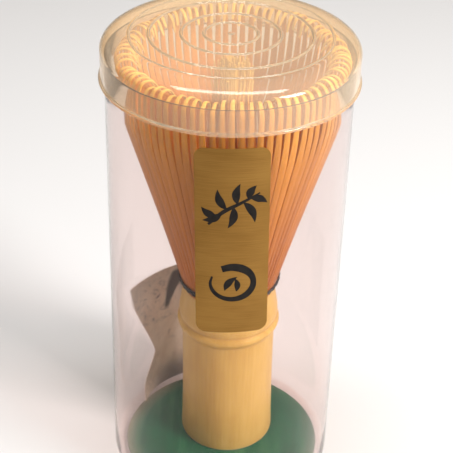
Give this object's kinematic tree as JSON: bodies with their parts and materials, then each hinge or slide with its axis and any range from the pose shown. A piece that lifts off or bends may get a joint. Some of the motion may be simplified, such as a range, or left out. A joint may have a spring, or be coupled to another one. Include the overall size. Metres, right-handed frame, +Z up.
{
  "type": "bamboo tea whisk",
  "caption": "Bamboo tea whisk with a hollow grip, two rings of split tines and a thread binding, standing in a clear round case with a press-on lid.",
  "frame": {"origin": "centre of the underside of the case, on the surface it stands on", "axes": "+Z up along the case's axis, -Y out of the front, where the label is, +X to the right seen from the front"},
  "size_m": [0.0618, 0.0618, 0.122],
  "materials": {
    "clear_plastic": "gloss",
    "clear_lid_plastic": "gloss",
    "gold_foil": "satin",
    "green_card": "matte",
    "printed_paper": "matte",
    "pale_bamboo": "satin",
    "tine_bamboo": "satin",
    "black_thread": "matte"
  },
  "bodies": {
    "case": {"case_tube": "clear_plastic", "case_label": "gold_foil", "base_disc": "green_card", "leaflet": "printed_paper"},
    "whisk": {"handle": "pale_bamboo", "outer_tines_01": "tine_bamboo", "outer_tines_02": "tine_bamboo", "outer_tines_03": "tine_bamboo", "outer_tines_04": "tine_bamboo", "outer_tines_05": "tine_bamboo", "outer_tines_06": "tine_bamboo", "outer_tines_07": "tine_bamboo", "outer_tines_08": "tine_bamboo", "outer_tines_09": "tine_bamboo", "outer_tines_10": "tine_bamboo", "outer_tines_11": "tine_bamboo", "outer_tines_12": "tine_bamboo", "outer_tines_13": "tine_bamboo", "outer_tines_14": "tine_bamboo", "outer_tines_15": "tine_bamboo", "outer_tines_16": "tine_bamboo", "inner_tines_01": "tine_bamboo", "inner_tines_02": "tine_bamboo", "inner_tines_03": "tine_bamboo", "inner_tines_04": "tine_bamboo", "inner_tines_05": "tine_bamboo", "inner_tines_06": "tine_bamboo", "inner_tines_07": "tine_bamboo", "inner_tines_08": "tine_bamboo", "inner_tines_09": "tine_bamboo", "inner_tines_10": "tine_bamboo", "inner_tines_11": "tine_bamboo", "inner_tines_12": "tine_bamboo", "inner_tines_13": "tine_bamboo", "inner_tines_14": "tine_bamboo", "inner_tines_15": "tine_bamboo", "inner_tines_16": "tine_bamboo", "binding_thread": "black_thread"},
    "lid": {"case_lid": "clear_lid_plastic"}
  },
  "joints": [
    {"name": "whisk_lift", "type": "slide", "parent": "case", "child": "whisk", "axis": [0, 0, 1], "range_m": [0, 0.125]},
    {"name": "lid_lift", "type": "slide", "parent": "whisk", "child": "lid", "axis": [0, 0, 1], "range_m": [0, 0.04]}
  ]
}
